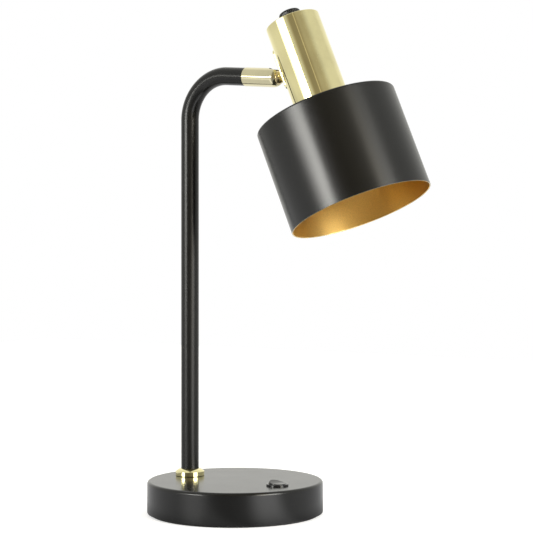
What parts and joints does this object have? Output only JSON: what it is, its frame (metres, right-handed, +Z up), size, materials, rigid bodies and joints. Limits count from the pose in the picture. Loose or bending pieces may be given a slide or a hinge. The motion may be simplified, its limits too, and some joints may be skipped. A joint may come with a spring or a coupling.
{
  "type": "desk lamp",
  "caption": "Desk lamp with a round weighted base, bent tube stem, friction ball joint and a tilting cylinder shade; rocker switch on the base.",
  "frame": {"origin": "centre of the base's underside, on the surface that the lamp stands on", "axes": "+Z up, +X from the stem towards the shade along the arm, +Y to the left of the arm seen from above"},
  "size_m": [0.2671, 0.156, 0.4441],
  "materials": {
    "black_paint": "gloss black lacquer on steel",
    "black_shade": "black enamel outside, gold lacquer inside, on steel",
    "gold_brass": "polished pale brass, lacquered",
    "cast_iron": "rough casting",
    "zinc_steel": "zinc plated",
    "foam_pad": "matte closed-cell foam",
    "black_plastic": "gloss black moulding",
    "black_metal": "gloss black lacquer",
    "phenolic": "black moulded resin",
    "nylon": "natural nylon",
    "sheath": "clear grey flexible sheath",
    "contact_metal": "stamped, plain",
    "bulb_metal": "pressed, bright",
    "opal_glass": "opal white"
  },
  "bodies": {
    "base": {"base_shell": "black_paint", "base_weight": "cast_iron", "base_pad": "foam_pad", "cord_gland": "black_plastic", "stem_collar": "gold_brass", "stem_tube": "black_paint", "foot_insert": "zinc_steel", "foot_nipple": "zinc_steel", "foot_washer": "zinc_steel", "foot_nut": "zinc_steel", "switch_housing": "black_plastic", "switch_terminals": "contact_metal", "stem_lead": "sheath", "swivel_plug": "gold_brass", "swivel_washer": "zinc_steel", "swivel_nut": "zinc_steel"},
    "rocker": {"switch_rocker": "black_plastic"},
    "barrel": {"socket_barrel": "gold_brass", "seat_screw": "zinc_steel", "disc_springs": "zinc_steel", "friction_seat": "nylon", "joint_lead": "sheath"},
    "head": {"ball_stud": "gold_brass", "head_plate": "gold_brass", "plate_screws": "gold_brass", "saddle_block": "zinc_steel", "stud_nut": "zinc_steel", "head_cylinder": "gold_brass", "head_rod": "zinc_steel", "rod_nut": "zinc_steel", "top_finial": "black_metal", "shade": "black_shade", "shade_ring": "phenolic", "lampholder_cap": "phenolic", "lampholder_body": "phenolic", "lamp_sleeve": "contact_metal", "centre_contact": "contact_metal", "head_lead": "sheath", "bulb_cap": "bulb_metal", "bulb_globe": "opal_glass"}
  },
  "joints": [
    {"name": "head_swivel", "type": "hinge", "parent": "base", "child": "barrel", "pos_m": [0.04526, 0, 0.38433], "axis": [0.9971, 0, -0.0767], "range_deg": [-170, 170]},
    {"name": "head_tilt", "type": "hinge", "parent": "barrel", "child": "head", "pos_m": [0.04526, 0, 0.38433], "axis": [0, -1, 0], "range_deg": [-41, 43]},
    {"name": "switch_rock", "type": "hinge", "parent": "base", "child": "rocker", "pos_m": [0.05008, -0.00793, 0.0306], "axis": [-0.1564, -0.9877, 0], "range_deg": [0, 20]}
  ]
}
